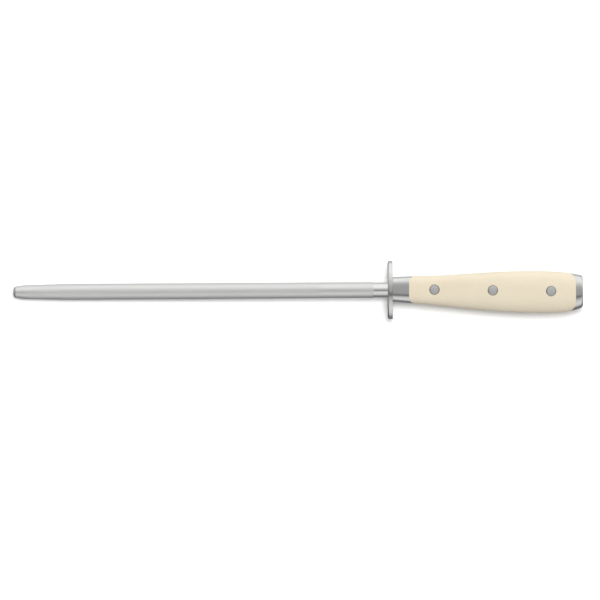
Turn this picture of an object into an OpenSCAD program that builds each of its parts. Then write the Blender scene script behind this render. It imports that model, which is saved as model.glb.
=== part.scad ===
// Knife sharpening steel with a full-tang handle.
// The rod runs along X with its tip at -X, and the handle is at +X.
// X = 0 is the finger guard's face on the rod's side, and the rod's axis is Y = Z = 0.
// The spine of the handle faces +Y, and Z is the handle's thickness.

/* [Rod] */
// Length of the rod in front of the guard
rod_length = 260; // [160:5:320]
// Diameter of the rod over its fine ribs
rod_d = 11; // [9:0.5:13]
// Length of the smooth neck in front of the guard
neck_length = 9.6; // [4:0.2:20]
// Diameter lost from the rod to its neck
neck_step = 0.6; // [0.2:0.1:1.4]
// Length of the slow taper towards the tip
taper_length = 32; // [20:1:90]
// Diameter lost along that taper
taper_drop = 1.5; // [0.4:0.1:2]
// Length of the smooth cone in front of the ribs
lead_length = 4.8; // [2:0.2:10]
// Diameter lost along that cone
lead_drop = 1.5; // [0.4:0.1:2]
// Radius of the rounded end of the rod
tip_round = 2.4; // [1:0.1:2.6]
// Diameter of the shank that is pressed into the bolster
shank_d = 7.6; // [5:0.2:8]

/* [Finger guard] */
// Width of the oval guard across the handle's height
guard_width = 40.6; // [30:0.2:56]
// Height of the oval guard across the handle's thickness
guard_height = 22; // [20:0.5:36]
// Thickness of the guard
guard_t = 3.5; // [2.5:0.1:6]
// Radius of the guard's edge on the rod's side
guard_round = 1.4; // [0.4:0.1:2]
// Radius of the guard's edge on the handle's side
guard_break = 0.3; // [0.1:0.05:0.4]

/* [Front bolster] */
// Length of the bolster between the guard and the scales
bolster_length = 11.3; // [10:0.1:20]
// Height of the bolster above the rod's axis, at the guard
bolster_top = 8.9; // [8:0.1:12]
// Depth of the bolster below the rod's axis, at the guard
bolster_bottom = 8.2; // [8:0.1:12]
// Thickness of the bolster at the guard
bolster_t = 16.4; // [14:0.2:20]
// How far the rod's shank reaches into the bolster
shank_depth = 6.5; // [4:0.5:7]

/* [Handle] */
// Length of the cream scales
scale_length = 116; // [100:0.2:140]
// Height of the handle above the rod's axis where the scales start
front_top = 9.4; // [8.5:0.1:12]
// Depth of the handle below the rod's axis where the scales start
front_bottom = 9.2; // [8.5:0.1:12]
// Greatest height of the handle above the rod's axis
swell_top = 12.5; // [10:0.1:16]
// Greatest depth of the handle below the rod's axis
swell_bottom = 16.5; // [12:0.1:20]
// Distance from the start of the scales to the highest point of the spine
swell_top_at = 79.5; // [60:0.5:95]
// Distance from the start of the scales to the deepest point of the belly
swell_bottom_at = 88.5; // [60:0.5:95]
// How much lower the spine is at the rear end
rear_drop_top = 3.2; // [1:0.1:5]
// How much the belly has come up at the rear end
rear_drop_bottom = 3.7; // [1:0.1:6]
// Thickness of the handle where the scales start
front_t = 17; // [15:0.2:20]
// Greatest thickness of the handle
swell_t = 19; // [17:0.2:24]
// Thickness of the handle at the rear end
rear_t = 17.4; // [15:0.2:20]
// How square the cross section is at the guard, where 2 is an ellipse
square_front = 4; // [2:0.1:5]
// How square the cross section is from the swell back
square_rear = 2.8; // [2:0.1:4]
// How far the scales stand proud of the steel all round
scale_proud = 0.1; // [0.05:0.05:0.5]
// Radius of the scales' two front corners, seen from the handle's side
front_corner = 4.2; // [3.5:0.1:6]
// Radius of the scales' two rear corners
rear_corner = 6.5; // [5.5:0.1:8]
// Radius of the scales' outer edges at their two ends
scale_edge = 0.3; // [0.2:0.1:1]
// How far the bolster reaches along the scales round their front corners
front_horn = 3; // [1:0.2:3.4]
// How far the cap reaches along the scales round their rear corners
rear_horn = 5; // [1:0.2:5.4]

/* [Tang] */
// Thickness of the tang between the scales
tang_t = 3.5; // [2.5:0.1:5]
// Height of the tongues that fit into the bolster and the cap
tongue_height = 11; // [6:0.5:14]
// How far the rear tongue reaches into the cap
cap_tongue = 2.6; // [1.5:0.1:3.5]

/* [End cap] */
// Length of the end cap behind the scales
cap_length = 4.8; // [4.5:0.1:9]
// Radius of the cap's rear edges
cap_round = 1.2; // [0.6:0.1:2]

/* [Rivets] */
// Number of rivets
rivet_count = 3; // [3:1:3]
// Distance from the start of the scales to the first rivet
rivet_first = 17.7; // [14:0.1:24]
// Distance between neighbouring rivets
rivet_pitch = 40.5; // [30:0.5:44]
// Height of the first rivet above the rod's axis
rivet_front_y = -0.1; // [-2:0.1:2]
// How much lower each rivet is than the one before
rivet_step_y = 0.75; // [0:0.05:1.5]
// Diameter of the rivet heads
rivet_head_d = 7; // [6:0.1:9]
// Thickness of the rivet heads
rivet_head_t = 2; // [1:0.1:3]
// Outer diameter of the hollow rivet half
sleeve_d = 5.2; // [4.6:0.1:5.6]
// Diameter of the solid rivet half's pin
rivet_pin_d = 3.2; // [2:0.1:4]
// How far the hollow half reaches past the tang into the other scale
sleeve_past = 2; // [0.5:0.1:2.5]
// How far the pin reaches past the tang into the hollow half
pin_past = 2.5; // [0.5:0.1:2.8]

/* [Fits] */
// Clearance on the radius round the rivets in the scales and the tang
drill_clearance = 0.05; // [0.02:0.01:0.15]
// Free depth past the end of each rivet's pin
pin_end_gap = 0.5; // [0.2:0.1:1]

/* [Hidden] */
SCALES_AT = guard_t + bolster_length;
CAP_AT = SCALES_AT + scale_length;
REAR_AT = CAP_AT + cap_length;
SHANK_END = guard_t + shank_depth;
RIVET_NAMES = ["front", "middle", "rear"];

ROUND_FN = 96;
SECTION_POINTS = 48;
GUARD_POINTS = 72;
ARC_STEPS = 6;
BODY_STEPS = 20;
CORNER_STEPS = 8;
BIG = 60;

// A cubic from (0, 0) to (1, 1) that ends level and starts with the given slope
function ease(t, slope) = 3 * t ^ 2 - 2 * t ^ 3 + slope * (t ^ 3 - 2 * t ^ 2 + t);
function signed_power(v, p) = sign(v) * abs(v) ^ p;
// How far a rounded edge of radius r has drawn back at distance d from its end
function edge_inset(d, r) = d >= r ? 0 : r - sqrt(max(0, r ^ 2 - (r - d) ^ 2));

// The handle's outline above and below the rod's axis, and half its thickness, for any x from the guard back
function swell(x, at_guard, front, top, top_at, slope, drop, power) =
    x < SCALES_AT ? at_guard + (front - at_guard) * (x - guard_t) / bolster_length :
    x < SCALES_AT + top_at ? front + (top - front) * ease((x - SCALES_AT) / top_at, slope) :
    top - drop * ((x - SCALES_AT - top_at) / (REAR_AT - SCALES_AT - top_at)) ^ power;
function spine_y(x) = swell(x, bolster_top, front_top, swell_top, swell_top_at, -0.3, rear_drop_top, 3);
function belly_y(x) = swell(x, bolster_bottom, front_bottom, swell_bottom, swell_bottom_at, 1, rear_drop_bottom, 4);
function half_t(x) = swell(x, bolster_t, front_t, swell_t, scale_length * 0.5, 0.6, swell_t - rear_t, 2) / 2;

// Squareness of the section at x: squarest at the guard, rounder from the swell back
function squareness(x) = let (t = max(0, min(1, (x - guard_t) / (SCALES_AT + swell_top_at - guard_t))))
    square_front + (square_rear - square_front) * ease(t, 0);

// One closed section of the handle at x, drawn in by inset_y and inset_z
function section(x, inset_y, inset_z, proud) = let (
    up = spine_y(x) + proud - inset_y,
    down = belly_y(x) + proud - inset_y,
    thick = half_t(x) + proud - inset_z,
    bend = 2 / squareness(x)
) [for (k = [0:SECTION_POINTS - 1]) let (a = 360 * k / SECTION_POINTS)
    [x, (up - down) / 2 + (up + down) / 2 * signed_power(cos(a), bend),
        thick * signed_power(sin(a), bend)]];

// One closed oval of the guard at x, drawn in by inset
function oval(x, inset) = [for (k = [0:GUARD_POINTS - 1]) let (a = 360 * k / GUARD_POINTS)
    [x, (guard_width / 2 - inset) * cos(a), (guard_height / 2 - inset) * sin(a)]];

// Distances along an edge of radius r, close together where it turns fastest
function arc_steps(r) = [for (i = [0:ARC_STEPS]) r * (1 - cos(90 * i / ARC_STEPS))];
// The x of each section of a scale, with the edges of its two ends rounded
function scale_stations() = let (run = arc_steps(scale_edge)) concat(
    [for (d = run) SCALES_AT + d],
    [for (i = [1:BODY_STEPS - 1]) SCALES_AT + scale_edge + (scale_length - 2 * scale_edge) * i / BODY_STEPS],
    [for (i = [ARC_STEPS:-1:0]) CAP_AT - run[i]]);
function end_distance(x) = min(x - SCALES_AT, CAP_AT - x);

// Points of one corner of radius r in the scales' plan, from its end face to its side
function corner(end, r, y, outward) = let (inward = end == CAP_AT ? -1 : 1)
    [for (i = [0:CORNER_STEPS]) let (a = 90 * i / CORNER_STEPS)
        [end + inward * r * (1 - cos(a)), y - outward * r * (1 - sin(a))]];
function backwards(points) = [for (i = [len(points) - 1:-1:0]) points[i]];

function rivet_x(i) = SCALES_AT + rivet_first + i * rivet_pitch;
function rivet_y(i) = rivet_front_y - i * rivet_step_y;
function rivet_z(i) = half_t(rivet_x(i)) + scale_proud;

// A closed solid through rings of points that follow each other along +X
module loft(rings) {
    n = len(rings[0]);
    last = len(rings) - 1;
    sides = [for (r = [0:last - 1], k = [0:n - 1]) let (
        a = r * n + k, b = r * n + (k + 1) % n, c = b + n, d = a + n) each [[a, d, c], [a, c, b]]];
    polyhedron(
        points = [for (ring = rings) each ring],
        faces = concat([[for (k = [0:n - 1]) k]], sides, [[for (k = [n - 1:-1:0]) last * n + k]]),
        convexity = 4);
}

// Stands a profile of [radius, x] points round the rod's axis
module turned(profile) {
    rotate([0, 90, 0]) rotate_extrude($fn = ROUND_FN) polygon(profile);
}

// A cylinder along Z at a rivet's place, from one height to another
module at_rivet(i, d, from, to) {
    translate([rivet_x(i), rivet_y(i), from]) cylinder(d = d, h = to - from, $fn = ROUND_FN);
}

module steel_rod() {
    rod_r = rod_d / 2;
    neck_r = (rod_d - neck_step) / 2;
    taper_r = rod_r - taper_drop / 2;
    lead_r = taper_r - lead_drop / 2;
    end_x = tip_round - rod_length;
    color("lightgray") turned(concat(
        [[0, SHANK_END], [shank_d / 2, SHANK_END], [shank_d / 2, guard_t], [neck_r, guard_t],
            [neck_r, -neck_length], [rod_r, -neck_length - neck_step / 2],
            [rod_r, end_x + lead_length + taper_length], [taper_r, end_x + lead_length]],
        [for (i = [0:ARC_STEPS]) let (a = 90 * i / ARC_STEPS)
            [lead_r - tip_round * (1 - cos(a)), end_x - tip_round * sin(a)]],
        [[0, -rod_length]]));
}

// The space of both scales with its four corners rounded, open past the handle's spine and belly
module scale_space() {
    front = SCALES_AT + front_corner;
    rear = CAP_AT - rear_corner;
    translate([0, 0, -BIG / 2]) linear_extrude(BIG) polygon(concat(
        backwards(corner(SCALES_AT, front_corner, -belly_y(front), -1)),
        corner(SCALES_AT, front_corner, spine_y(front), 1),
        [[front, BIG / 2], [rear, BIG / 2]],
        backwards(corner(CAP_AT, rear_corner, spine_y(rear), 1)),
        corner(CAP_AT, rear_corner, -belly_y(rear), -1),
        [[rear, -BIG / 2], [front, -BIG / 2]]));
}

// The space that the tang fills between the bolster and the cap
module tang_space() {
    translate([SCALES_AT, -BIG / 2, -tang_t / 2]) cube([scale_length, BIG, tang_t]);
}

module finger_guard() {
    front = arc_steps(guard_round);
    back = arc_steps(guard_break);
    color("silver") difference() {
        loft(concat(
            [for (d = front) oval(d, edge_inset(d, guard_round))],
            [for (i = [ARC_STEPS:-2:0]) oval(guard_t - back[i], edge_inset(back[i], guard_break))]));
        translate([-1, 0, 0]) rotate([0, 90, 0]) cylinder(d = rod_d - neck_step, h = guard_t + 2, $fn = ROUND_FN);
    }
}

// The slot or tongue of the tang between two x values
module tongue(from, to) {
    translate([from, -tongue_height / 2, -tang_t / 2]) cube([to - from, tongue_height, tang_t]);
}

module front_bolster() {
    color("silver") difference() {
        loft([for (x = [guard_t, SCALES_AT, SCALES_AT + front_horn / 2, SCALES_AT + front_horn])
            section(x, 0, 0, 0)]);
        scale_space();
        tang_space();
        translate([guard_t - 1, 0, 0]) rotate([0, 90, 0]) cylinder(d = shank_d, h = shank_depth + 1, $fn = ROUND_FN);
        tongue(SHANK_END, SCALES_AT + 1);
    }
}

module tang() {
    stations = scale_stations();
    color("gray") difference() {
        union() {
            translate([0, 0, -tang_t / 2]) linear_extrude(tang_t) polygon(concat(
                [for (x = stations) [x, -belly_y(x)]], [for (x = backwards(stations)) [x, spine_y(x)]]));
            tongue(SHANK_END, CAP_AT + cap_tongue);
        }
        for (i = [0:rivet_count - 1]) at_rivet(i, sleeve_d + 2 * drill_clearance, -tang_t, tang_t);
    }
}

// The scale on the +Z side of the tang; its twin is the mirror image
module upper_scale() {
    color("cornsilk") difference() {
        intersection() {
            loft([for (x = scale_stations())
                section(x, 0, edge_inset(end_distance(x), scale_edge), scale_proud)]);
            scale_space();
            translate([SCALES_AT - 1, -BIG / 2, tang_t / 2]) cube([scale_length + 2, BIG, BIG]);
        }
        for (i = [0:rivet_count - 1]) {
            at_rivet(i, sleeve_d + 2 * drill_clearance, 0, BIG);
            at_rivet(i, rivet_head_d + 2 * drill_clearance, rivet_z(i) - rivet_head_t, BIG);
        }
    }
}

module lower_scale() {
    mirror([0, 0, 1]) upper_scale();
}

module end_cap() {
    rear = arc_steps(cap_round);
    color("silver") difference() {
        loft(concat(
            [for (x = [CAP_AT - rear_horn, CAP_AT - rear_horn / 2, CAP_AT, REAR_AT - cap_round])
                section(x, 0, 0, 0)],
            [for (i = [ARC_STEPS - 1:-1:0]) let (inset = edge_inset(rear[i], cap_round))
                section(REAR_AT - rear[i], inset, inset, 0)]));
        scale_space();
        tang_space();
        tongue(CAP_AT - 1, CAP_AT + cap_tongue);
    }
}

module rivet_pin(i) {
    color("silver") union() {
        at_rivet(i, rivet_head_d, rivet_z(i) - rivet_head_t, rivet_z(i));
        at_rivet(i, rivet_pin_d, -tang_t / 2 - pin_past, rivet_z(i) - rivet_head_t / 2);
    }
}

module rivet_sleeve(i) {
    color("silver") difference() {
        union() {
            at_rivet(i, rivet_head_d, -rivet_z(i), rivet_head_t - rivet_z(i));
            at_rivet(i, sleeve_d, rivet_head_t / 2 - rivet_z(i), tang_t / 2 + sleeve_past);
        }
        at_rivet(i, rivet_pin_d, -tang_t / 2 - pin_past - pin_end_gap, BIG);
    }
}

steel_rod();
finger_guard();
front_bolster();
tang();
upper_scale();
lower_scale();
end_cap();
for (i = [0:rivet_count - 1]) {
    rivet_pin(i);
    rivet_sleeve(i);
}
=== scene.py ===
"""A knife sharpening steel with a ribbed rod, an oval finger guard and a full-tang cream handle.

Laid out as an add-on: every piece has its own operator, and the sidebar panel holds the sizes and
colours that a maker would change. Run as a script, it builds the whole steel and its studio.
"""

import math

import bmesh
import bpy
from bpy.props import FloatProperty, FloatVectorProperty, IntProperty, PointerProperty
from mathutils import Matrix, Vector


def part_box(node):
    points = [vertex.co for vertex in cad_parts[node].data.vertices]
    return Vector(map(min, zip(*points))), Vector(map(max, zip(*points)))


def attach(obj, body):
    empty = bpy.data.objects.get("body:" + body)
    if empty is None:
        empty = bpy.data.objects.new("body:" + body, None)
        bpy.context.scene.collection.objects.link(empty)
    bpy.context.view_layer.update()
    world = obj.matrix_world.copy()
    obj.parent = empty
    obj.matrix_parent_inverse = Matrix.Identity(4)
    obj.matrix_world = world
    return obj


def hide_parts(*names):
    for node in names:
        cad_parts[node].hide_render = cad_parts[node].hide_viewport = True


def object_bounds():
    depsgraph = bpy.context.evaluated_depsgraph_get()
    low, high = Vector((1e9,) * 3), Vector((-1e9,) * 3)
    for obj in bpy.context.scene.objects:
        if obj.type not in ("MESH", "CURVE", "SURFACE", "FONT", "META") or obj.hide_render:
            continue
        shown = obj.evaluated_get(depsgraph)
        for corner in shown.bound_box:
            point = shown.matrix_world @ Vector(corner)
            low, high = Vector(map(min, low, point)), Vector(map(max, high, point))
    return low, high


bl_info = {
    "name": "Knife Sharpening Steel",
    "version": (1, 0, 0),
    "blender": (4, 5, 0),
    "location": "3D View > Sidebar > Sharpening Steel",
    "description": "Builds a ribbed sharpening steel with a riveted full-tang handle",
    "category": "Add Mesh",
}

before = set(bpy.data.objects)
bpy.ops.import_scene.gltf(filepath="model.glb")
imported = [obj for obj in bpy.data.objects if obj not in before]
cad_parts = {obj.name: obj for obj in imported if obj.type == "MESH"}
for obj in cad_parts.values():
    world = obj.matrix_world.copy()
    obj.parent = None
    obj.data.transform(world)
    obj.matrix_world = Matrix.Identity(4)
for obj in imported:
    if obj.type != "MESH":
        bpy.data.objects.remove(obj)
CAD_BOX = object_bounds()

MM = 0.001
BODY = "root"
ROD_LOW, ROD_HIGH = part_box("steel_rod")
GUARD_LOW, GUARD_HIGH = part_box("finger_guard")
TANG_LOW, TANG_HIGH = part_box("tang")
SCALE_LOW, SCALE_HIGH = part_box("upper_scale")
CAP_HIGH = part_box("end_cap")[1]
RIVETS = ("front", "middle", "rear")

# How finely curves are drawn
ARC_STEP = math.radians(11)
EDGE_STEPS = 8
CORNER_STEPS = 18
HOLD = 0.12 * MM
SECTION_POINTS = 160
SCALE_ARC_POINTS = 112
SCALE_BASE_POINTS = 12
GUARD_POINTS = 160
HANDLE_STEP = 2.4 * MM
ROD_STEP = 2 * MM
RIB_POINTS = 4
RIVET_SEGMENTS = 72
CROWN_STEPS = 6
SHARP_ANGLE = math.radians(32)
MERGE_DISTANCE = 0.0005 * MM

# How each outline leaves the scales' front (slope), and how late it is drawn in at the rear (power)
SPINE_BEND = (-0.3, 3)
BELLY_BEND = (1, 4)
THICKNESS_BEND = (0.6, 2)

# Small radii of the turned profiles
CONE_BLEND = 0.4 * MM
TAPER_BLEND = 8 * MM
SHOULDER_BREAK = 0.1 * MM
SHANK_BREAK = 0.3 * MM


def linear(hex_colour):
    """An sRGB hex colour such as "e4dac2" as linear red, green and blue."""
    channels = [int(hex_colour[i:i + 2], 16) / 255 for i in (0, 2, 4)]
    return tuple(c / 12.92 if c <= 0.04045 else ((c + 0.055) / 1.055) ** 2.4 for c in channels)


def length(description, default_mm):
    """A length, given in millimetres, that the sidebar shows in the scene's units."""
    return FloatProperty(description=description, default=default_mm * MM, min=0,
                         subtype="DISTANCE", unit="LENGTH", precision=5)


def rotation(description, degrees):
    """An angle, given in degrees."""
    return FloatProperty(description=description, default=math.radians(degrees),
                         subtype="ANGLE", unit="ROTATION")


def number(description, default, low=0, high=1000):
    """A plain number between two limits."""
    return FloatProperty(description=description, default=default, min=low, max=high)


def colour(description, hex_colour):
    """A linear colour whose default is an sRGB hex value."""
    return FloatVectorProperty(description=description, default=linear(hex_colour),
                               min=0, max=1, size=3, subtype="COLOR")


# ---- sizes and colours

class RodSizes(bpy.types.PropertyGroup):
    """The hard-chromed rod and its ribs."""

    neck_length: length("Polished neck in front of the guard", 9.6)
    neck_step: length("Diameter lost from the rod to its neck", 0.6)
    neck_blend: length("Length of the slope from the rod to its neck", 1.2)
    taper_length: length("Slow taper towards the tip", 32)
    taper_drop: length("Diameter lost along the taper", 1.5)
    lead_length: length("Smooth cone in front of the ribs", 4.8)
    lead_drop: length("Diameter lost along the cone", 1.5)
    tip_round: length("Radius of the rounded end", 2.4)
    shank_diameter: length("Shank pressed into the bolster", 7.6)
    smooth_length: length("Stretch without ribs, measured from the guard", 45)
    rib_depth: length("Depth of the grooves between the ribs", 0.07)
    rib_run_out: length("Length over which the grooves fade", 3)
    rib_count: IntProperty(description="Ribs round the rod", default=64, min=24, max=90)


class GuardSizes(bpy.types.PropertyGroup):
    """The oval finger guard."""

    front_round: length("Edge radius on the rod's side", 1.4)
    back_break: length("Edge radius on the handle's side", 0.3)
    bore_break: length("Edge radius round the neck", 0.15)


class HandleSizes(bpy.types.PropertyGroup):
    """The outline and cross section that the bolster, the scales and the cap share."""

    spine_at_guard: length("Height over the axis at the guard", 8.9)
    belly_at_guard: length("Depth below the axis at the guard", 8.2)
    thickness_at_guard: length("Bolster thickness at the guard", 16.4)
    spine_front: length("Height where the scales start", 9.4)
    belly_front: length("Depth where the scales start", 9.2)
    thickness_front: length("Thickness where the scales start", 17)
    spine_high: length("Greatest height over the axis", 12.5)
    belly_deep: length("Greatest depth below the axis", 16.5)
    thickness_high: length("Greatest thickness", 19)
    spine_high_at: length("Distance behind the scales' start", 79.5)
    belly_deep_at: length("Distance behind the scales' start", 88.5)
    spine_drop: length("How much lower the spine is at the rear", 3.2)
    belly_drop: length("How far the belly comes up at the rear", 3.7)
    thickness_drop: length("Thickness lost at the rear", 1.6)
    proud: length("How far the scales stand over the steel", 0.1)
    front_corner: length("Radius of the scales' front corners", 4.2)
    rear_corner: length("Radius of the scales' rear corners", 6.5)
    edge: length("Radius of the scales' outer edges at their ends", 0.3)
    front_horn: length("Reach of the bolster round the front corners", 3)
    rear_horn: length("Reach of the cap round the rear corners", 5)
    arris: length("Edge broken along the tang", 0.2)
    steel_break: length("Edge radius of the bolster against the guard", 0.2)
    cap_round: length("Radius of the cap's rear edges", 1.2)
    tongue_height: length("Height of the tang's two tongues", 11)
    drill_clearance: length("Gap round the rivets, on the radius", 0.05)
    square_front: number("Squareness at the guard, where 2 is an ellipse", 4.0, 2, 5)
    square_rear: number("Squareness at the rear, where 2 is an ellipse", 2.8, 2, 5)


class RivetSizes(bpy.types.PropertyGroup):
    """The three compression rivets, each a solid half and a hollow half."""

    head_thickness: length("Thickness of both heads", 2)
    crown: length("Rise of the head at its middle", 0.12)
    edge_round: length("Rounded rim of the head", 0.8)
    sleeve_diameter: length("Outside of the hollow half", 5.2)
    pin_diameter: length("Pin of the solid half", 3.2)
    sleeve_past: length("Reach of the sleeve past the tang", 2)
    pin_past: length("Reach of the pin past the tang", 2.5)
    bore_floor: length("Metal left under the sleeve's bore", 4)


class FinishColours(bpy.types.PropertyGroup):
    """What each finish reflects."""

    chrome: colour("Hard chrome of the rod", "dbdbda")
    stainless: colour("Polished guard, bolster and cap", "d3d3d2")
    tang: colour("Ground edge of the tang", "b4b3b0")
    rivet: colour("Turned rivet heads", "e6e6e6")
    cream: colour("Acetal of the scales", "c4baa6")
    cream_shade: colour("Slightly deeper cloud in the acetal", "bfb5a0")
    floor: colour("Studio floor", "f6f6f6")


class StageSizes(bpy.types.PropertyGroup):
    """The studio: camera, floor and light tent."""

    camera_distance: length("Camera above the handle's plane", 8000)
    view_width: length("Width that the camera frames", 417)
    floor_size: length("Side of the floor", 4000)
    tent_strength: number("Brightest wall of the tent", 1.3)
    key_distance: length("Distance of the key softbox", 2500)
    key_size: length("Side of both softboxes", 750)
    key_tilt: rotation("Angle of the key softbox from overhead", 11)
    key_turn: rotation("Direction of the key softbox, from +X towards +Y", 68)
    fill_distance: length("Distance of the low fill softbox", 2000)
    fill_rise: rotation("Angle of the fill softbox over the floor", 30)
    fill_power: number("Power of the fill softbox in watts", 10)
    key_power: number("Power of the key softbox in watts", 42)
    roll: rotation("Turn of the camera about its view", -0.34)


class SteelSettings(bpy.types.PropertyGroup):
    """Everything that the sidebar shows."""

    rod: PointerProperty(type=RodSizes)
    guard: PointerProperty(type=GuardSizes)
    handle: PointerProperty(type=HandleSizes)
    rivets: PointerProperty(type=RivetSizes)
    finishes: PointerProperty(type=FinishColours)
    stage: PointerProperty(type=StageSizes)


# ---- node helper

def feed(tree, node, inputs):
    """Gives each named input of a node its value or its link."""
    for socket, value in inputs.items():
        if isinstance(value, bpy.types.NodeSocket):
            tree.links.new(value, node.inputs[socket])
        else:
            node.inputs[socket].default_value = value


def add_node(tree, kind, inputs=None, **settings):
    """Adds one node: settings are its own attributes, and inputs are fed to it."""
    node = tree.nodes.new(kind)
    for name, value in settings.items():
        setattr(node, name, value)
    feed(tree, node, inputs or {})
    return node


# ---- shapes

def arc_points(centre, radius, start, turn):
    """Points of an arc in the plane, from the angle start through the angle turn."""
    steps = max(2, math.ceil(abs(turn) / ARC_STEP))
    angles = [start + turn * i / steps for i in range(steps + 1)]
    return [(centre[0] + radius * math.cos(a), centre[1] + radius * math.sin(a)) for a in angles]


def rounded_line(corners, longest=None):
    """A line through (x, y, radius) corners with each rounded, and points held beside every arc.

    Straight stretches are divided so that none is longer than longest.
    """
    line = [Vector(corners[0][:2])]
    for before, corner, after in zip(corners, corners[1:], corners[2:]):
        here = Vector(corner[:2])
        back = (Vector(before[:2]) - here).normalized()
        ahead = (Vector(after[:2]) - here).normalized()
        radius = corner[2]
        if radius == 0:
            line.append(here)
            continue
        half = back.angle(ahead) / 2
        reach = radius / math.tan(half)
        centre = here + (back + ahead).normalized() * (radius / math.sin(half))
        first = here + back * reach - centre
        last = here + ahead * reach - centre
        start = math.atan2(first.y, first.x)
        turn = (math.atan2(last.y, last.x) - start + math.pi) % math.tau - math.pi
        line.append(here + back * (reach + HOLD))
        line += [Vector(p) for p in arc_points(centre, radius, start, turn)]
        line.append(here + ahead * (reach + HOLD))
    line.append(Vector(corners[-1][:2]))
    if longest is None:
        return line
    divided = [line[0]]
    for start, end in zip(line, line[1:]):
        parts = max(1, math.ceil((end - start).length / longest))
        divided += [start.lerp(end, i / parts) for i in range(1, parts + 1)]
    return divided


def rounded_edge(radius):
    """(distance from the end, inset from the side) pairs round an edge, held flat at both sides."""
    turns = [math.pi / 2 * i / EDGE_STEPS for i in range(EDGE_STEPS + 1)]
    arc = [(radius * (1 - math.cos(t)), radius * (1 - math.sin(t))) for t in turns]
    return [(0, radius + HOLD), *arc, (radius + HOLD, 0)]


def edge_inset(distance, radius):
    """How far a rounded edge has drawn back at a distance from its end."""
    if distance >= radius:
        return 0
    return radius - math.sqrt(max(0, radius ** 2 - (radius - distance) ** 2))


def line_mesh(name, line):
    """A mesh of edges only, through points of a profile in the XY plane."""
    mesh = bpy.data.meshes.new(name)
    points = [(p[0], p[1], 0) for p in line]
    mesh.from_pydata(points, [(i, i + 1) for i in range(len(points) - 1)], [])
    return mesh


def loft(name, rings, closed=False):
    """A mesh through rings of points, with a face over each end unless the rings close in a loop."""
    shape = bmesh.new()
    loops = [[shape.verts.new(point) for point in ring] for ring in rings]
    following = loops[1:] + loops[:1] if closed else loops[1:]
    for near, far in zip(loops, following):
        for i in range(len(near)):
            j = (i + 1) % len(near)
            shape.faces.new((near[i], far[i], far[j], near[j]))
    if not closed:
        shape.faces.new(loops[0])
        shape.faces.new(loops[-1])
    bmesh.ops.recalc_face_normals(shape, faces=shape.faces)
    mesh = bpy.data.meshes.new(name)
    shape.to_mesh(mesh)
    shape.free()
    return mesh


def oval(wide, high, count):
    """Points of an oval round the origin, from its widest point."""
    angles = [math.tau * i / count for i in range(count)]
    return [(wide * math.cos(a), high * math.sin(a)) for a in angles]


def head_radius(node):
    """The radius of a rivet's head, from its CAD box."""
    low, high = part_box(node)
    return (high.x - low.x) / 2


def stepped_cutter(centre, steps):
    """A round cutter along Z through (radius, z) steps, for drilling and counterboring."""
    return loft("cutter", [[(centre.x + x, centre.y + y, z) for x, y in oval(r, r, RIVET_SEGMENTS)]
                           for r, z in steps])


def box_cutter(low, high):
    """A plain box between two corners, for milling a slot."""
    ring = [(low[1], low[2]), (high[1], low[2]), (high[1], high[2]), (low[1], high[2])]
    return loft("cutter", [[(x, y, z) for y, z in ring] for x in (low[0], high[0])])


def added(name, data):
    """A new object for a mesh, a lamp or a camera, put in the scene."""
    thing = bpy.data.objects.new(name, data)
    bpy.context.scene.collection.objects.link(thing)
    return thing


def cut(mesh, cutters):
    """The mesh with every cutter taken out of it."""
    body = added("blank", mesh)
    tools = [added("cutter", cutter) for cutter in cutters]
    for tool in tools:
        modifier = body.modifiers.new("cut", "BOOLEAN")
        modifier.operation = "DIFFERENCE"
        modifier.solver = "EXACT"
        modifier.object = tool
    return baked(body, tools)


def baked(holder, helpers=()):
    """The holder's mesh with its modifiers run, after which the holder and its helpers are removed."""
    evaluated = holder.evaluated_get(bpy.context.evaluated_depsgraph_get())
    mesh = bpy.data.meshes.new_from_object(evaluated)
    holder.modifiers.clear()
    for thing in (holder, *helpers):
        bpy.data.objects.remove(thing)
    return mesh


def grow(base, tree, values, helpers=()):
    """The plain mesh that a Geometry Nodes tree makes of a base mesh."""
    holder = added("holder", base)
    modifier = holder.modifiers.new(tree.name, "NODES")
    modifier.node_group = tree
    for item in tree.interface.items_tree:
        if item.in_out == "INPUT" and item.name in values:
            modifier[item.identifier] = values[item.name]
    return baked(holder, helpers)


def add_piece(name, mesh, material, nodes, sharp=True):
    """Shows a mesh as one smooth-shaded piece of the steel that stands for its CAD nodes."""
    mesh.name = name
    mesh.materials.clear()
    mesh.materials.append(material)
    mesh.shade_smooth()
    if sharp:
        mesh.set_sharp_from_angle(angle=SHARP_ANGLE)
    piece = added(name, mesh)
    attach(piece, BODY)
    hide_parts(*nodes)


def add_polished(name, mesh, settings, node):
    """Shows a mesh as one of the pieces of polished stainless steel."""
    add_piece(name, mesh, finish("Stainless Steel, Polished", settings), [node])


# ---- the handle's rule

def ease(t, slope):
    """A cubic from (0, 0) to (1, 1) that ends level and starts with the given slope."""
    return 3 * t ** 2 - 2 * t ** 3 + slope * (t ** 3 - 2 * t ** 2 + t)


def swell(x, at_guard, front, high, high_at, drop, slope, power):
    """One outline of the handle: straight over the bolster, swelling, and drawn in at the rear."""
    behind = x - SCALE_LOW.x
    if behind < 0:
        bolster = SCALE_LOW.x - GUARD_HIGH.x
        return at_guard + (front - at_guard) * (x - GUARD_HIGH.x) / bolster
    if behind < high_at:
        return front + (high - front) * ease(behind / high_at, slope)
    return high - drop * ((behind - high_at) / (CAP_HIGH.x - SCALE_LOW.x - high_at)) ** power


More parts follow.
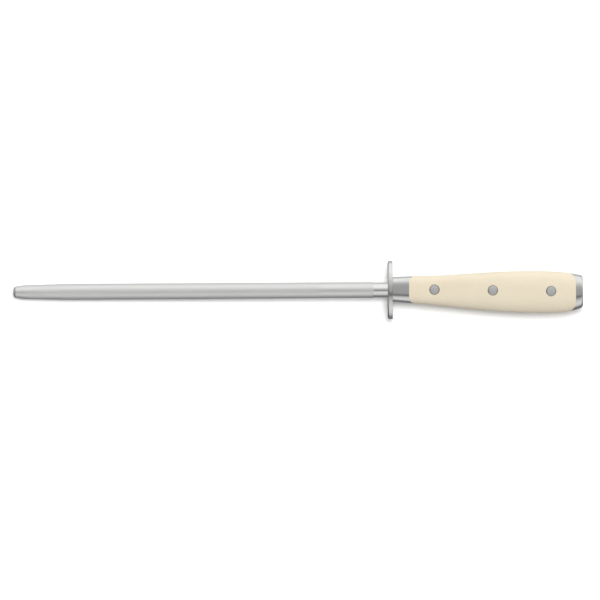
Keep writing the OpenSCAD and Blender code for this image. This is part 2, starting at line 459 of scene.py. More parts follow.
def handle_outline(sizes, x):
    """Height over the axis, depth below it and half the thickness of the handle at x."""
    middle = (SCALE_HIGH.x - SCALE_LOW.x) / 2
    up = swell(x, sizes.spine_at_guard, sizes.spine_front, sizes.spine_high,
               sizes.spine_high_at, sizes.spine_drop, *SPINE_BEND)
    down = swell(x, sizes.belly_at_guard, sizes.belly_front, sizes.belly_deep,
                 sizes.belly_deep_at, sizes.belly_drop, *BELLY_BEND)
    thick = swell(x, sizes.thickness_at_guard, sizes.thickness_front, sizes.thickness_high,
                  middle, sizes.thickness_drop, *THICKNESS_BEND)
    return up, down, thick / 2


def squared(value, square):
    """A sine or cosine bent towards the sides of a squarer oval."""
    return math.copysign(abs(value) ** (2 / square), value)


def squareness(sizes, x):
    """How square the cross section is at x: squarest at the guard, rounder from the swell onwards."""
    t = min(max((x - GUARD_HIGH.x) / (SCALE_LOW.x + sizes.spine_high_at - GUARD_HIGH.x), 0), 1)
    return sizes.square_front + (sizes.square_rear - sizes.square_front) * ease(t, 0)


def section(sizes, x, inset):
    """One closed cross section of the handle's steel, drawn in by inset."""
    up, down, thick = (size - inset for size in handle_outline(sizes, x))
    square = squareness(sizes, x)
    ring = []
    for i in range(SECTION_POINTS):
        a = math.tau * i / SECTION_POINTS
        y = (up - down) / 2 + (up + down) / 2 * squared(math.cos(a), square)
        ring.append((x, y, thick * squared(math.sin(a), square)))
    return ring


def plan_limits(sizes, x):
    """The lowest and the highest y that the scales' rounded corners leave at x."""
    at_front = x < (SCALE_LOW.x + SCALE_HIGH.x) / 2
    corner = sizes.front_corner if at_front else sizes.rear_corner
    distance = x - SCALE_LOW.x if at_front else SCALE_HIGH.x - x
    if distance >= corner:
        return -CAD_BOX[1].y, CAD_BOX[1].y
    turned_at = SCALE_LOW.x + corner if at_front else SCALE_HIGH.x - corner
    up, down = handle_outline(sizes, turned_at)[:2]
    draw = edge_inset(distance, corner)
    return draw - down, up - draw


def corner_runs(sizes):
    """The x of each station round the front corners and round the rear corners, going backwards."""
    turns = [math.pi / 2 * i / CORNER_STEPS for i in range(CORNER_STEPS + 1)]
    front = [SCALE_LOW.x + sizes.front_corner * (1 - math.cos(t)) for t in turns]
    rear = [SCALE_HIGH.x - sizes.rear_corner * (1 - math.cos(t)) for t in reversed(turns)]
    return front, rear


def scale_space(sizes):
    """A cutter with the plan of both scales, open past the handle's spine and belly."""
    front, rear = corner_runs(sizes)
    beyond = CAD_BOX[1].y
    limits = [(x, *plan_limits(sizes, x)) for x in front[:-1]]
    limits += [(x, -beyond, beyond) for x in (front[-1], rear[0])]
    limits += [(x, *plan_limits(sizes, x)) for x in rear[1:]]
    plan = [(x, highest) for x, lowest, highest in limits]
    plan += [(x, lowest) for x, lowest, highest in reversed(limits)]
    return loft("cutter", [[(x, y, z) for x, y in plan] for z in (-beyond, beyond)])


def handle_cutters(sizes, start, end):
    """Cutters for a tongue's slot from start to end, for the scales and for the tang's plate."""
    tongue = sizes.tongue_height / 2
    beyond = CAD_BOX[1].y
    return [
        box_cutter((start, -tongue, TANG_LOW.z), (end, tongue, TANG_HIGH.z)),
        scale_space(sizes),
        box_cutter((SCALE_LOW.x, -beyond, TANG_LOW.z), (SCALE_HIGH.x, beyond, TANG_HIGH.z)),
    ]


def scale_section(sizes, x, side):
    """One closed cross section of a scale, flat on the tang and trimmed to its plan."""
    draw = edge_inset(min(x - SCALE_LOW.x, SCALE_HIGH.x - x), sizes.edge)
    up, down, thick = (size + sizes.proud for size in handle_outline(sizes, x))
    thick -= draw
    lowest, highest = plan_limits(sizes, x)
    flat = TANG_HIGH.z
    square = squareness(sizes, x)
    start = math.asin(((flat + sizes.arris) / thick) ** (square / 2))
    ring = []
    for i in range(SCALE_ARC_POINTS + 1):
        a = start + (math.pi - 2 * start) * i / SCALE_ARC_POINTS
        y = (up - down) / 2 + (up + down) / 2 * squared(math.cos(a), square)
        y = min(max(y, lowest), highest)
        ring.append((x, y, side * thick * squared(math.sin(a), square)))
    low, high = ring[-1][1] + sizes.arris, ring[0][1] - sizes.arris
    for i in range(SCALE_BASE_POINTS + 1):
        ring.append((x, low + (high - low) * i / SCALE_BASE_POINTS, side * flat))
    return ring


def spaced(start, end, longest):
    """Evenly spaced values from start to end, both left out, no further apart than longest."""
    parts = max(1, math.ceil((end - start) / longest))
    return [start + (end - start) * i / parts for i in range(1, parts)]


# ---- Geometry Nodes trees

def new_tree(name, inputs, outputs):
    """An empty Geometry Nodes tree with named sockets, and its input and output nodes."""
    tree = bpy.data.node_groups.new(name, "GeometryNodeTree")
    for socket_name, kind in inputs:
        tree.interface.new_socket(socket_name, in_out="INPUT", socket_type="NodeSocket" + kind)
    for socket_name, kind in outputs:
        tree.interface.new_socket(socket_name, in_out="OUTPUT", socket_type="NodeSocket" + kind)
    return tree, add_node(tree, "NodeGroupInput").outputs, add_node(tree, "NodeGroupOutput").inputs


def math_of(tree, operation, *values):
    """The result of one step of arithmetic on values or sockets."""
    return add_node(tree, "ShaderNodeMath", dict(enumerate(values)), operation=operation).outputs[0]


def turning_tree():
    """Sweeps a profile of (along, radius) points round, and gives each point's place on it."""
    tree, given, result = new_tree(
        "Turn Profile",
        [("Profile", "Geometry"), ("Segments", "Int")],
        [("Surface", "Geometry"), ("Along", "Float"), ("Radius", "Float"), ("Turn", "Float")],
    )
    line = add_node(tree, "GeometryNodeMeshToCurve", {"Mesh": given["Profile"]})
    place = add_node(tree, "GeometryNodeInputPosition")
    on_line = add_node(tree, "GeometryNodeCaptureAttribute")
    on_line.capture_items.new("VECTOR", "Place")
    feed(tree, on_line, {"Geometry": line.outputs["Curve"], "Place": place.outputs["Position"]})
    circle = add_node(tree, "GeometryNodeCurvePrimitiveCircle", {"Resolution": given["Segments"]})
    share = math_of(tree, "DIVIDE", add_node(tree, "GeometryNodeInputIndex").outputs[0], given["Segments"])
    on_circle = add_node(tree, "GeometryNodeCaptureAttribute")
    on_circle.capture_items.new("FLOAT", "Turn")
    feed(tree, on_circle, {"Geometry": circle.outputs["Curve"], "Turn": share})
    swept = add_node(tree, "GeometryNodeCurveToMesh", {
        "Curve": on_line.outputs["Geometry"],
        "Profile Curve": on_circle.outputs["Geometry"],
    })
    parts = add_node(tree, "ShaderNodeSeparateXYZ", {0: on_line.outputs["Place"]})
    found = (swept.outputs["Mesh"], parts.outputs["X"], parts.outputs["Y"], on_circle.outputs["Turn"])
    for value, socket in zip(found, result):
        tree.links.new(value, socket)
    return tree


def placed_round(tree, turned, radius, along_x):
    """Puts a turned surface round the X axis, or else the Z axis, and closes its two poles."""
    angle = math_of(tree, "MULTIPLY", turned["Turn"], math.tau)
    across = math_of(tree, "MULTIPLY", radius, math_of(tree, "COSINE", angle))
    aside = math_of(tree, "MULTIPLY", radius, math_of(tree, "SINE", angle))
    order = (turned["Along"], across, aside) if along_x else (across, aside, turned["Along"])
    place = add_node(tree, "ShaderNodeCombineXYZ", dict(enumerate(order)))
    moved = add_node(tree, "GeometryNodeSetPosition", {
        "Geometry": turned["Surface"],
        "Position": place.outputs["Vector"],
    })
    return add_node(tree, "GeometryNodeMergeByDistance", {
        "Geometry": moved.outputs["Geometry"],
        "Distance": MERGE_DISTANCE,
    }).outputs["Geometry"]


def ribbed_rod_tree():
    """Turns the rod's profile and cuts fine V grooves along it, which fade at both ends."""
    tree, given, result = new_tree(
        "Ribbed Rod",
        [("Profile", "Geometry"), ("Ribs", "Int"), ("Rib Depth", "Float"), ("Ribs From", "Float"),
         ("Ribs To", "Float"), ("Run-out", "Float"), ("Finish", "Material")],
        [("Rod", "Geometry")],
    )
    turned = add_node(tree, "GeometryNodeGroup", {
        "Profile": given["Profile"],
        "Segments": math_of(tree, "MULTIPLY", given["Ribs"], RIB_POINTS),
    }, node_tree=turning_tree())
    along, radius, turn = (turned.outputs[name] for name in ("Along", "Radius", "Turn"))
    past_start = math_of(tree, "SUBTRACT", along, given["Ribs From"])
    before_end = math_of(tree, "SUBTRACT", given["Ribs To"], along)
    nearest = math_of(tree, "MINIMUM", past_start, before_end)
    share = math_of(tree, "MINIMUM", math_of(tree, "DIVIDE", nearest, given["Run-out"]), 1.0)
    fade = math_of(tree, "SMOOTH_MAX", share, 0.0, 0.1)
    groove = math_of(tree, "PINGPONG", math_of(tree, "MULTIPLY", turn, given["Ribs"]), 0.5)
    depth = math_of(tree, "MULTIPLY", math_of(tree, "MULTIPLY", groove, 2.0), given["Rib Depth"])
    cut_radius = math_of(tree, "SUBTRACT", radius, math_of(tree, "MULTIPLY", depth, fade))
    shape = placed_round(tree, turned.outputs, cut_radius, along_x=True)
    plain = add_node(tree, "GeometryNodeRealizeInstances", {0: shape})
    finished = add_node(tree, "GeometryNodeSetMaterial", {0: plain.outputs[0], "Material": given["Finish"]})
    tree.links.new(finished.outputs[0], result["Rod"])
    return tree


def rivet_tree():
    """Turns one rivet half from its profile and stands it on every seat of the base mesh."""
    tree, given, result = new_tree(
        "Turned Rivets",
        [("Seats", "Geometry"), ("Profile", "Object"), ("Segments", "Int"),
         ("Lowest", "Float"), ("Highest", "Float"), ("Finish", "Material")],
        [("Rivets", "Geometry")],
    )
    profile = add_node(tree, "GeometryNodeObjectInfo", {"Object": given["Profile"]})
    turned = add_node(tree, "GeometryNodeGroup", {
        "Profile": profile.outputs["Geometry"],
        "Segments": given["Segments"],
    }, node_tree=turning_tree())
    rivet = placed_round(tree, turned.outputs, turned.outputs["Radius"], along_x=False)
    marked = add_node(tree, "GeometryNodeStoreNamedAttribute", {
        "Geometry": rivet,
        "Name": "lathe_radius",
        "Value": turned.outputs["Radius"],
    }, data_type="FLOAT", domain="POINT")
    stood = add_node(tree, "GeometryNodeInstanceOnPoints", {
        "Points": given["Seats"],
        "Instance": marked.outputs["Geometry"],
    })
    plain = add_node(tree, "GeometryNodeRealizeInstances", {0: stood.outputs["Instances"]})
    here = add_node(tree, "GeometryNodeInputPosition")
    parts = add_node(tree, "ShaderNodeSeparateXYZ", {0: here.outputs["Position"]})
    height = math_of(tree, "MAXIMUM", parts.outputs["Z"], given["Lowest"])
    height = math_of(tree, "MINIMUM", height, given["Highest"])
    place = add_node(tree, "ShaderNodeCombineXYZ", {
        0: parts.outputs["X"],
        1: parts.outputs["Y"],
        2: height,
    })
    moved = add_node(tree, "GeometryNodeSetPosition", {
        "Geometry": plain.outputs[0],
        "Position": place.outputs["Vector"],
    })
    finished = add_node(tree, "GeometryNodeSetMaterial", {
        0: moved.outputs["Geometry"],
        "Material": given["Finish"],
    })
    tree.links.new(finished.outputs[0], result["Rivets"])
    return tree


# ---- finishes

def finish(name, settings):
    """The named finish, made by its own function the first time that it is asked for."""
    material = bpy.data.materials.get(name)
    if material:
        return material
    material = bpy.data.materials.new(name)
    material.use_nodes = True
    tree = material.node_tree
    tree.nodes.clear()
    shader = add_node(tree, "ShaderNodeBsdfPrincipled")
    add_node(tree, "ShaderNodeOutputMaterial", {"Surface": shader.outputs["BSDF"]})
    place = add_node(tree, "ShaderNodeTexCoord").outputs["Object"]
    in_mm = add_node(tree, "ShaderNodeVectorMath", {0: place, "Scale": 1 / MM}, operation="SCALE")
    FINISHES[name](settings, tree, shader, in_mm.outputs[0])
    return material


def noise_at(tree, place, spacing, detail=3.0, rough=0.55):
    """Noise whose features are spacing = (x, y, z) millimetres apart."""
    scale = tuple(1 / s for s in spacing)
    stretched = add_node(tree, "ShaderNodeMapping", {"Vector": place, "Scale": scale})
    return add_node(tree, "ShaderNodeTexNoise", {
        "Vector": stretched.outputs[0], "Scale": 1.0, "Detail": detail, "Roughness": rough,
    }).outputs["Fac"]


def ranged(tree, value, low, high, source=(0.3, 0.7)):
    """A value brought from its source range into low to high."""
    return add_node(tree, "ShaderNodeMapRange", {
        "Value": value, "From Min": source[0], "From Max": source[1], "To Min": low, "To Max": high,
    }).outputs[0]


def tinted(tree, shader, plain_colour, share):
    """Feeds the shader a base colour multiplied by a share near 1, for slight differences."""
    scaled = add_node(tree, "ShaderNodeVectorMath", {
        0: tuple(plain_colour),
        "Scale": share,
    }, operation="SCALE")
    feed(tree, shader, {"Base Color": scaled.outputs[0]})


def metal(tree, shader, plain_colour, share, rough):
    """A bare metal with its colour, each share of it lighter or darker, and its roughness."""
    tinted(tree, shader, plain_colour, share)
    feed(tree, shader, {"Metallic": 1.0, "Roughness": rough})


def bumped(tree, shader, height, depth):
    """Feeds a height pattern of a real depth in metres to the shader's normal."""
    bump = add_node(tree, "ShaderNodeBump", {"Height": height, "Strength": 1.0, "Distance": depth})
    feed(tree, shader, {"Normal": bump.outputs["Normal"]})


def hard_chrome(settings, tree, shader, place):
    """Hard chrome over longitudinally ground steel.

    The long grinding lines blur each highlight into a satin band, and the neck is bright polished.
    """
    neck_start = -settings.rod.neck_length / MM
    along = add_node(tree, "ShaderNodeSeparateXYZ", {0: place}).outputs["X"]
    satin = ranged(tree, along, 1.0, 0.0, (neck_start - 0.5, neck_start + 0.2))
    # Grinding lines are about 0.05 mm wide; drawn 0.5 mm wide so that they show
    lines = noise_at(tree, place, (60, 0.5, 0.5), detail=4)
    soft = noise_at(tree, place, (25, 2.5, 2.5))
    satin_rough = math_of(tree, "ADD", ranged(tree, lines, 0.30, 0.38), ranged(tree, soft, -0.03, 0.03))
    rough = add_node(tree, "ShaderNodeMix", {0: satin, 2: 0.11, 3: satin_rough}).outputs[0]
    metal(tree, shader, settings.finishes.chrome, ranged(tree, lines, 0.93, 1.05), rough)
    round_rod = add_node(tree, "ShaderNodeTangent", direction_type="RADIAL", axis="X")
    feed(tree, shader, {"Anisotropic": 0.75, "Tangent": round_rod.outputs["Tangent"]})
    bumped(tree, shader, math_of(tree, "MULTIPLY", lines, satin), 0.02 * MM)


def polished_stainless(settings, tree, shader, place):
    """Stainless steel polished on a soft wheel: clear reflections with a faint haze of fine lines."""
    # Polishing lines are under 0.02 mm wide; drawn 0.3 mm wide so that they show
    lines = noise_at(tree, place, (0.3, 9, 9), detail=5)
    haze = noise_at(tree, place, (5, 5, 5))
    rough = math_of(tree, "ADD", ranged(tree, lines, 0.09, 0.13), ranged(tree, haze, -0.01, 0.02))
    share = math_of(tree, "MULTIPLY", ranged(tree, haze, 0.98, 1.02), ranged(tree, lines, 0.95, 1.03))
    metal(tree, shader, settings.finishes.stainless, share, rough)
    bumped(tree, shader, lines, 0.004 * MM)


def ground_tang(settings, tree, shader, place):
    """Tool steel ground flush with the scales: dull, with lines along the handle."""
    # Belt grit leaves lines about 0.08 mm apart; drawn 0.3 mm apart so that they show
    lines = noise_at(tree, place, (30, 0.3, 0.3), detail=4)
    rough = ranged(tree, lines, 0.28, 0.42)
    metal(tree, shader, settings.finishes.tang, ranged(tree, lines, 0.9, 1.04), rough)
    bumped(tree, shader, lines, 0.01 * MM)


def turned_rivet(settings, tree, shader, place):
    """Stainless rivet wire, faced on a lathe: a bright disc with hair-fine rings, and painted shade that
    darkens its rim.
    """
    head = head_radius("front_rivet_pin")
    radius = add_node(tree, "ShaderNodeAttribute", attribute_name="lathe_radius").outputs["Fac"]
    # Facing feed is about 0.1 mm a turn; drawn 0.35 mm a turn so that the rings show
    rings = math_of(tree, "SINE", math_of(tree, "MULTIPLY", radius, math.tau / (0.35 * MM)))
    haze = noise_at(tree, place, (1.5, 1.5, 1.5))
    # Painted shade: the head's colour darkens to half towards its rim, standing in for the shade round its
    # rounded edge
    rim = ranged(tree, radius, 1.0, 0.5, (head - 1.0 * MM, head - 0.2 * MM))
    share = math_of(tree, "MULTIPLY", ranged(tree, rings, 0.97, 1.0, (-1, 1)), rim)
    metal(tree, shader, settings.finishes.rivet, share, ranged(tree, haze, 0.26, 0.34))
    bumped(tree, shader, rings, 0.0015 * MM)


def cream_acetal(settings, tree, shader, place):
    """Acetal, moulded and tumbled: a soft even sheen, faint clouds and a slightly waxy depth."""
    clouds = noise_at(tree, place, (22, 12, 12), detail=2)
    mottle = noise_at(tree, place, (1.6, 1.6, 1.6), detail=3)
    grain = noise_at(tree, place, (0.45, 0.45, 0.45), detail=2)
    share = math_of(tree, "ADD", ranged(tree, clouds, 0.0, 0.75), ranged(tree, mottle, 0.0, 0.25))
    mixed = add_node(tree, "ShaderNodeMix", {
        0: share,
        6: (*settings.finishes.cream, 1),
        7: (*settings.finishes.cream_shade, 1),
    }, data_type="RGBA")
    rough = math_of(tree, "ADD", ranged(tree, mottle, 0.36, 0.42), ranged(tree, grain, -0.02, 0.03))
    feed(tree, shader, {
        "Base Color": mixed.outputs[2],
        "Roughness": rough,
        "IOR": 1.48,
        "Subsurface Weight": 0.12,
        "Subsurface Radius": (1.0, 0.8, 0.55),
        "Subsurface Scale": 1.2 * MM,
    })
    bumped(tree, shader, math_of(tree, "ADD", mottle, math_of(tree, "MULTIPLY", grain, 0.5)), 0.012 * MM)


def matt_floor(settings, tree, shader, place):
    """Matt white board, with barely lighter and darker patches."""
    feed(tree, shader, {"Roughness": 0.9, "Specular IOR Level": 0.0})
    cloud = noise_at(tree, place, (80, 80, 80))
    tinted(tree, shader, settings.finishes.floor, ranged(tree, cloud, 0.995, 1.0))


FINISHES = {
    "Hard Chrome, Satin Ground": hard_chrome,
    "Stainless Steel, Polished": polished_stainless,
    "Tang Steel, Ground": ground_tang,
    "Rivet Steel, Turned": turned_rivet,
    "Acetal, Moulded, Cream": cream_acetal,
    "Studio Floor, Matt White": matt_floor,
}


# ---- operators

class Step:
    """What every operator shares: it builds its own part from the scene's settings."""

    def execute(self, context):
        """Builds the part; an error in it reaches whoever pressed the button."""
        self.build(context.scene.sharpening_steel)
        return {"FINISHED"}


class SHARPENING_STEEL_OT_turn_rod(Step, bpy.types.Operator):
    """Turn the rod and cut its ribs"""

    bl_idname = "sharpening_steel.turn_rod"
    bl_label = "Turn Rod"

    def build(self, settings):
        sizes = settings.rod
        radius = ROD_HIGH.z
        neck = radius - sizes.neck_step / 2
        taper = radius - sizes.taper_drop / 2
        lead = taper - sizes.lead_drop / 2
        tip = ROD_LOW.x
        cone = tip + sizes.tip_round + sizes.lead_length
        step = -sizes.neck_length
        shank = sizes.shank_diameter / 2
        line = rounded_line([
            (tip, 0, 0),
            (tip, lead, sizes.tip_round),
            (tip + sizes.tip_round, lead, 0),
            (cone, taper, CONE_BLEND),
            (cone + sizes.taper_length, radius, TAPER_BLEND),
            (step - sizes.neck_blend, radius, sizes.neck_blend),
            (step, neck, sizes.neck_blend),
            (GUARD_HIGH.x, neck, SHOULDER_BREAK),
            (GUARD_HIGH.x, shank, SHOULDER_BREAK),
            (ROD_HIGH.x, shank, SHANK_BREAK),
            (ROD_HIGH.x, 0, 0),
        ], ROD_STEP)
        chrome = finish("Hard Chrome, Satin Ground", settings)
        mesh = grow(line_mesh("rod_profile", line), ribbed_rod_tree(), {
            "Ribs": sizes.rib_count,
            "Rib Depth": sizes.rib_depth,
            "Ribs From": cone,
            "Ribs To": -sizes.smooth_length,
            "Run-out": sizes.rib_run_out,
            "Finish": chrome,
        })
        add_piece("ribbed_rod", mesh, chrome, ["steel_rod"], sharp=False)


class SHARPENING_STEEL_OT_shape_guard(Step, bpy.types.Operator):
    """Shape the oval finger guard with its bore for the neck"""

    bl_idname = "sharpening_steel.shape_guard"
    bl_label = "Shape Finger Guard"

    def build(self, settings):
        sizes = settings.guard
        half_width, half_height = GUARD_HIGH.y, GUARD_HIGH.z
        bore = ROD_HIGH.z - settings.rod.neck_step / 2
        front, back = GUARD_LOW.x, GUARD_HIGH.x

        def ring(x, inset, from_bore):
            """The oval drawn in by inset, or the bore opened by it."""
            wide = bore + inset if from_bore else half_width - inset
            high = bore + inset if from_bore else half_height - inset
            return [(x, y, z) for y, z in oval(wide, high, GUARD_POINTS)]

        rings = [ring(front + d, inset, True) for d, inset in reversed(rounded_edge(sizes.bore_break))]
        rings += [ring(front + d, inset, False) for d, inset in rounded_edge(sizes.front_round)]
        rings += [ring(back - d, inset, False) for d, inset in reversed(rounded_edge(sizes.back_break))]
        rings += [ring(back - d, inset, True) for d, inset in rounded_edge(sizes.bore_break)]
        add_polished("oval_guard", loft("guard", rings, closed=True), settings, "finger_guard")


class SHARPENING_STEEL_OT_shape_bolster(Step, bpy.types.Operator):
    """Shape the front bolster, bored for the shank and slotted for the tang"""

    bl_idname = "sharpening_steel.shape_bolster"
    bl_label = "Shape Front Bolster"

    def build(self, settings):
        sizes = settings.handle
        front, back = GUARD_HIGH.x, SCALE_LOW.x + sizes.front_horn
        edge = rounded_edge(sizes.steel_break)
        rings = [section(sizes, front + d, inset) for d, inset in edge]
        rings += [section(sizes, x, 0) for x in spaced(front + edge[-1][0], back, HANDLE_STEP)]
        rings.append(section(sizes, back, 0))
        mesh = loft("bolster", rings)
        shank = settings.rod.shank_diameter / 2
        bore = loft("cutter", [[(x, y, z) for y, z in oval(shank, shank, RIVET_SEGMENTS)]
                               for x in (front - MM, ROD_HIGH.x)])
        cutters = [bore, *handle_cutters(sizes, ROD_HIGH.x, back + MM)]
        add_polished("polished_bolster", cut(mesh, cutters), settings, "front_bolster")


class SHARPENING_STEEL_OT_shape_scales(Step, bpy.types.Operator):
    """Shape the two cream scales and drill them for the rivets"""

    bl_idname = "sharpening_steel.shape_scales"
    bl_label = "Shape Scales"

    def build(self, settings):
        sizes = settings.handle
        front, rear = corner_runs(sizes)
        stations = [*front, *spaced(front[-1], rear[0], HANDLE_STEP), *rear]
        for name, side, half in (("upper", 1, "pin"), ("lower", -1, "sleeve")):
            mesh = loft(name, [scale_section(sizes, x, side) for x in stations])
            cutters = []
            for rivet in RIVETS:
                low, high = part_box(f"{rivet}_rivet_{half}")
                head = (high.x - low.x) / 2 + sizes.drill_clearance
                hole = settings.rivets.sleeve_diameter / 2 + sizes.drill_clearance
                outside = high.z if side > 0 else low.z
                seat = outside - side * settings.rivets.head_thickness
                cutters.append(stepped_cutter((low + high) / 2, [
                    (hole, 0), (hole, seat), (head, seat), (head, outside + side * 2 * MM)]))
            add_piece(f"cream_{name}_scale", cut(mesh, cutters), finish("Acetal, Moulded, Cream", settings),
                      [f"{name}_scale"])


class SHARPENING_STEEL_OT_finish_tang(Step, bpy.types.Operator):
    """Give the tang its ground finish"""

    bl_idname = "sharpening_steel.finish_tang"
    bl_label = "Finish Tang"

    def build(self, settings):
        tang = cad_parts["tang"]
        tang.data.materials.clear()
        tang.data.materials.append(finish("Tang Steel, Ground", settings))


class SHARPENING_STEEL_OT_shape_cap(Step, bpy.types.Operator):
    """Shape the end cap, slotted for the tang's rear tongue"""

    bl_idname = "sharpening_steel.shape_cap"
    bl_label = "Shape End Cap"

    def build(self, settings):
        sizes = settings.handle
        front, back = SCALE_HIGH.x - sizes.rear_horn, CAP_HIGH.x
        rear = rounded_edge(sizes.cap_round)
        rings = [section(sizes, front, 0)]
        rings += [section(sizes, x, 0) for x in spaced(front, back - rear[-1][0], HANDLE_STEP / 2)]
        rings += [section(sizes, back - d, inset) for d, inset in reversed(rear)]
        cutters = handle_cutters(sizes, front - MM, TANG_HIGH.x)
        add_polished("polished_end_cap", cut(loft("cap", rings), cutters), settings, "end_cap")


class SHARPENING_STEEL_OT_set_rivets(Step, bpy.types.Operator):
    """Turn the two halves of the rivets and set them in their seats"""

    bl_idname = "sharpening_steel.set_rivets"
    bl_label = "Set Rivets"

    def build(self, settings):
        sizes = settings.rivets
        steel = finish("Rivet Steel, Turned", settings)
        head = head_radius("front_rivet_pin")
        thick = sizes.head_thickness
        pin = sizes.pin_diameter / 2
        sleeve = sizes.sleeve_diameter / 2
        past = 2 * CAP_HIGH.z
        crown_steps = [i / CROWN_STEPS for i in range(CROWN_STEPS - 1)]
        crown = [(sizes.crown * (1 - share ** 2), head * share, 0) for share in crown_steps]
        rim = [(0, head, sizes.edge_round), (-thick, head, SHOULDER_BREAK)]
        solid = [*crown, *rim, (-thick, pin, 0), (-past, pin, 0), (-past, 0, 0)]
        hollow = [*crown, *rim, (-thick, sleeve, 0), (-past, sleeve, 0), (-past, pin, 0),
                  (-sizes.bore_floor, pin, 0), (-sizes.bore_floor, 0, 0)]
        pin_end = TANG_LOW.z - sizes.pin_past
        sleeve_end = TANG_HIGH.z + sizes.sleeve_past
        for half, side, corners, ends in (("pin", 1, solid, (pin_end, past)),
                                          ("sleeve", -1, hollow, (-past, sleeve_end))):
            line = [(side * p.x, p.y) for p in rounded_line(corners)]
            profile = added("rivet_profile", line_mesh("rivet_profile", line))
            nodes = [f"{rivet}_rivet_{half}" for rivet in RIVETS]
            seats = bpy.data.meshes.new("rivet_seats")
            places = []
            for node in nodes:
                low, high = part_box(node)
                places.append(((low.x + high.x) / 2, (low.y + high.y) / 2, (high if side > 0 else low).z))
            seats.from_pydata(places, [], [])
            mesh = grow(seats, rivet_tree(), {
                "Profile": profile,
                "Segments": RIVET_SEGMENTS,
                "Lowest": ends[0],
                "Highest": ends[1],
                "Finish": steel,
            }, [profile])
            add_piece(f"rivet_{half}s", mesh, steel, nodes)


class SHARPENING_STEEL_OT_set_stage(Step, bpy.types.Operator):
    """Lay the floor, light the tent and point the camera"""

    bl_idname = "sharpening_steel.set_stage"
    bl_label = "Set Stage"

    def build(self, settings):
        lay_floor(settings)
        light_tent(settings)
        hang_softboxes(settings)
        point_camera(settings)
        bpy.context.scene.view_settings.view_transform = "Standard"


# ---- stage

def lay_floor(settings):
    """A floor that the guard's rim and the rod's tapered end both touch, as the steel lies at rest."""
    rod = settings.rod
    taper = ROD_HIGH.z - rod.taper_drop / 2
    lead_x = ROD_LOW.x + rod.tip_round
    cone_x = lead_x + rod.lead_length
    edges = [
        (lead_x, taper - rod.lead_drop / 2),
        (cone_x, taper),
        (cone_x + rod.taper_length, ROD_HIGH.z),
    ]
    rim_x = GUARD_LOW.x + settings.guard.front_round
    slope = max((GUARD_LOW.z + radius) / (rim_x - x) for x, radius in edges)
    half = settings.stage.floor_size / 2
    corners = [(-half, -half), (half, -half), (half, half), (-half, half)]
    mesh = bpy.data.meshes.new("floor")
    mesh.from_pydata([(x, y, GUARD_LOW.z + slope * (x - rim_x)) for x, y in corners], [], [(0, 1, 2, 3)])
    floor = added("studio_floor", mesh)
    mesh.materials.append(finish("Studio Floor, Matt White", settings))
    floor.visible_glossy = False


# Where the camera looks straight down, a little to the rod's side of the guard
CAMERA_X = -60.9 * MM
CAMERA_Y = -6.7 * MM
CAMERA_CLIP = (0.01, 40)
SENSOR_WIDTH = 36
# How far the tent's wall darkens between two slants towards its open end
OPEN_END = (-0.3, -0.65)
OPEN_END_SHARE = 0.64
BACKDROP = (0.9, 0.9, 0.9, 1)
# Brightness of the light tent's wall by its angle from straight overhead, towards +Y
TENT = [
    (-180, 0.15), (-110, 0.18), (-98, 0.24), (-90, 0.38), (-78, 0.55), (-62, 0.72), (-44, 0.74),
    (-30, 0.66), (-19, 0.48), (-10, 0.15), (-2, 0.37), (6, 0.43), (16, 0.60), (31, 0.82), (47, 0.95),
    (86, 0.93), (98, 0.84), (108, 0.58), (180, 0.50),
]


def hang_softboxes(settings):
    """A key that lays the soft shadow under the steel, and a low fill that shades the handle."""
    stage = settings.stage
    fill_tilt = math.pi / 2 - stage.fill_rise
    for name, tilt, turn, distance, power in (
        ("key_softbox", stage.key_tilt, stage.key_turn, stage.key_distance, stage.key_power),
        ("fill_softbox", fill_tilt, math.pi / 2, stage.fill_distance, stage.fill_power),
    ):
        data = bpy.data.lights.new(name, "AREA")
        data.shape = "SQUARE"
        data.size = stage.key_size
        data.energy = power
        box = added(name, data)
        box.rotation_euler = (0, tilt, turn)
        box.location = box.rotation_euler.to_matrix() @ Vector((0, 0, distance))
        box.visible_glossy = False


def light_tent(settings):
    """A light tent as the world: bright towards +Y, grey overhead, dimmer at its open end by the tip."""
    world = bpy.data.worlds.new("Light Tent")
    world.use_nodes = True
    tree = world.node_tree
    tree.nodes.clear()
    direction = add_node(tree, "ShaderNodeTexCoord").outputs["Generated"]
    parts = add_node(tree, "ShaderNodeSeparateXYZ", {0: direction})
    angle = math_of(tree, "ARCTAN2", parts.outputs["Y"], parts.outputs["Z"])
    share = ranged(tree, angle, 0.0, 1.0, (-math.pi, math.pi))
    ramp = add_node(tree, "ShaderNodeValToRGB", {0: share})
    ramp.color_ramp.interpolation = "EASE"
    stops = ramp.color_ramp.elements
    while len(stops) < len(TENT):
        stops.new(0.5)
    for stop, (degrees, brightness) in zip(stops, TENT):
        stop.position = (degrees + 180) / 360
        stop.color = (brightness, brightness, brightness, 1)
    open_end = add_node(tree, "ShaderNodeMapRange", {
        "Value": parts.outputs["X"], "From Min": OPEN_END[0], "From Max": OPEN_END[1],
        "To Min": 1.0, "To Max": OPEN_END_SHARE,
    }, interpolation_type="SMOOTHSTEP")
    tent = add_node(tree, "ShaderNodeBackground", {
        "Color": ramp.outputs["Color"],
        "Strength": math_of(tree, "MULTIPLY", open_end.outputs[0], settings.stage.tent_strength),
    })
    backdrop = add_node(tree, "ShaderNodeBackground", {"Color": BACKDROP, "Strength": 1.0})
    seen = add_node(tree, "ShaderNodeLightPath").outputs["Is Camera Ray"]
    mixed = add_node(tree, "ShaderNodeMixShader", {0: seen, 1: tent.outputs[0], 2: backdrop.outputs[0]})
    add_node(tree, "ShaderNodeOutputWorld", {"Surface": mixed.outputs[0]})
    bpy.context.scene.world = world


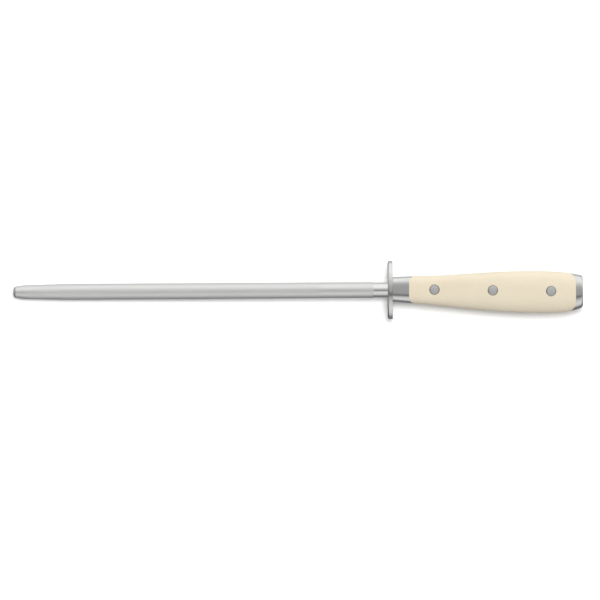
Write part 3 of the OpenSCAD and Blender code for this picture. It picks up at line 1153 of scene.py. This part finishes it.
def point_camera(settings):
    """A long-lens camera that looks straight down."""
    stage = settings.stage
    data = bpy.data.cameras.new("overhead")
    data.sensor_width = SENSOR_WIDTH
    data.lens = data.sensor_width * stage.camera_distance / stage.view_width
    data.clip_start, data.clip_end = CAMERA_CLIP
    camera = added("overhead_camera", data)
    camera.location = (CAMERA_X, CAMERA_Y, stage.camera_distance)
    camera.rotation_euler = (0, 0, stage.roll)
    bpy.context.scene.camera = camera


# ---- panel and registration

class VIEW3D_PT_sharpening_steel(bpy.types.Panel):
    """The sizes, the colours and the steps of building the steel"""

    bl_label = "Sharpening Steel"
    bl_idname = "VIEW3D_PT_sharpening_steel"
    bl_space_type = "VIEW_3D"
    bl_region_type = "UI"
    bl_category = "Sharpening Steel"

    def draw(self, context):
        settings = context.scene.sharpening_steel
        for step in STEPS:
            self.layout.operator(step.bl_idname)
        for group in SteelSettings.__annotations__:
            box = self.layout.box()
            box.label(text=group.title())
            sizes = getattr(settings, group)
            for name in sizes.__annotations__:
                box.prop(sizes, name, text=name.replace("_", " ").capitalize())


STEPS = (
    SHARPENING_STEEL_OT_turn_rod,
    SHARPENING_STEEL_OT_shape_guard,
    SHARPENING_STEEL_OT_shape_bolster,
    SHARPENING_STEEL_OT_finish_tang,
    SHARPENING_STEEL_OT_shape_scales,
    SHARPENING_STEEL_OT_shape_cap,
    SHARPENING_STEEL_OT_set_rivets,
    SHARPENING_STEEL_OT_set_stage,
)
GROUPS = (RodSizes, GuardSizes, HandleSizes, RivetSizes, FinishColours, StageSizes, SteelSettings)
CLASSES = (*GROUPS, *STEPS, VIEW3D_PT_sharpening_steel)


def register():
    """Registers every class and hangs the settings on the scene."""
    for cls in CLASSES:
        bpy.utils.register_class(cls)
    bpy.types.Scene.sharpening_steel = PointerProperty(type=SteelSettings)


def unregister():
    """Takes the settings and the classes away again."""
    del bpy.types.Scene.sharpening_steel
    for cls in reversed(CLASSES):
        bpy.utils.unregister_class(cls)


def main():
    """Builds the steel piece by piece."""
    register()
    for step in STEPS:
        family, name = step.bl_idname.split(".")
        getattr(getattr(bpy.ops, family), name)()


if __name__ == "__main__":
    main()
